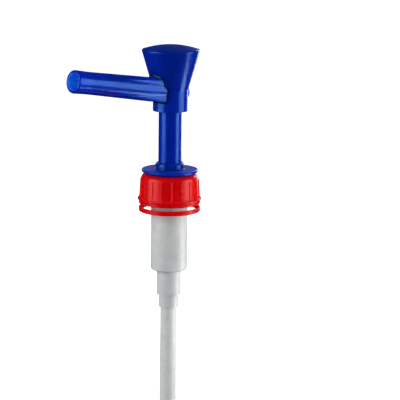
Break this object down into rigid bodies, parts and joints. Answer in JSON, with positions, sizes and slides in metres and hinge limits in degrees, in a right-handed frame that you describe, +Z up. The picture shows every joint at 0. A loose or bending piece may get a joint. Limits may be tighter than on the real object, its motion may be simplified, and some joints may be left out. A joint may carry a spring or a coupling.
{
  "type": "dispensing pump",
  "caption": "Hand pump for a can: flared press head with a straight side spout, spring-returned piston in a barrel, ribbed screw cap with tamper ring, and a dip tube.",
  "frame": {"origin": "centre of the gasket's lower face, where it seals on the neck's rim, on the pump's axis", "axes": "+Z up along the pump's axis towards the head; -X the way the spout points at rest"},
  "size_m": [0.1314, 0.0552, 0.347],
  "materials": {
    "blue_polypropylene": "glossy moulded blue polypropylene",
    "red_polyethylene": "glossy moulded red polyethylene",
    "natural_polypropylene": "satin natural polypropylene",
    "natural_polyethylene": "satin natural extruded polyethylene",
    "white_acetal": "satin white moulded plastic",
    "black_rubber": "matt black rubber",
    "foam_gasket": "matt pale foam",
    "stainless_steel": "drawn stainless steel"
  },
  "bodies": {
    "pump_body": {"barrel": "natural_polypropylene", "neck_gasket": "foam_gasket", "collar": "blue_polypropylene", "collar_seal": "black_rubber", "guide_bush": "white_acetal", "wiper_seal": "black_rubber", "foot_valve": "natural_polypropylene", "inlet_cage": "white_acetal", "dip_tube": "natural_polyethylene", "return_spring": "stainless_steel"},
    "closure": {"screw_cap": "red_polyethylene", "tamper_ring": "red_polyethylene"},
    "piston_group": {"piston": "white_acetal", "piston_seal": "black_rubber", "thrust_washer": "stainless_steel"},
    "plunger": {"stem": "blue_polypropylene", "pump_head": "blue_polypropylene", "head_lid": "blue_polypropylene", "spout": "blue_polypropylene", "rear_plug": "blue_polypropylene", "discharge_seat": "white_acetal", "discharge_cage": "white_acetal"},
    "discharge_valve": {"discharge_ball": "stainless_steel"},
    "inlet_valve": {"inlet_ball": "stainless_steel"}
  },
  "joints": [
    {"name": "cap_turn", "type": "hinge", "parent": "pump_body", "child": "closure", "pos_m": [0, 0, 0], "axis": [0, 0, 1], "continuous": true},
    {"name": "stroke", "type": "slide", "parent": "pump_body", "child": "piston_group", "axis": [0, 0, -1], "range_m": [0, 0.0424], "stiffness_N_per_m": 300, "springref_m": -0.03, "deforming": ["return_spring"]},
    {"name": "head_turn", "type": "hinge", "parent": "piston_group", "child": "plunger", "pos_m": [0, 0, 0], "axis": [0, 0, 1], "continuous": true},
    {"name": "discharge_lift", "type": "slide", "parent": "plunger", "child": "discharge_valve", "axis": [0, 0, 1], "range_m": [0, 0.003]},
    {"name": "inlet_lift", "type": "slide", "parent": "pump_body", "child": "inlet_valve", "axis": [0, 0, 1], "range_m": [0, 0.0035]}
  ]
}
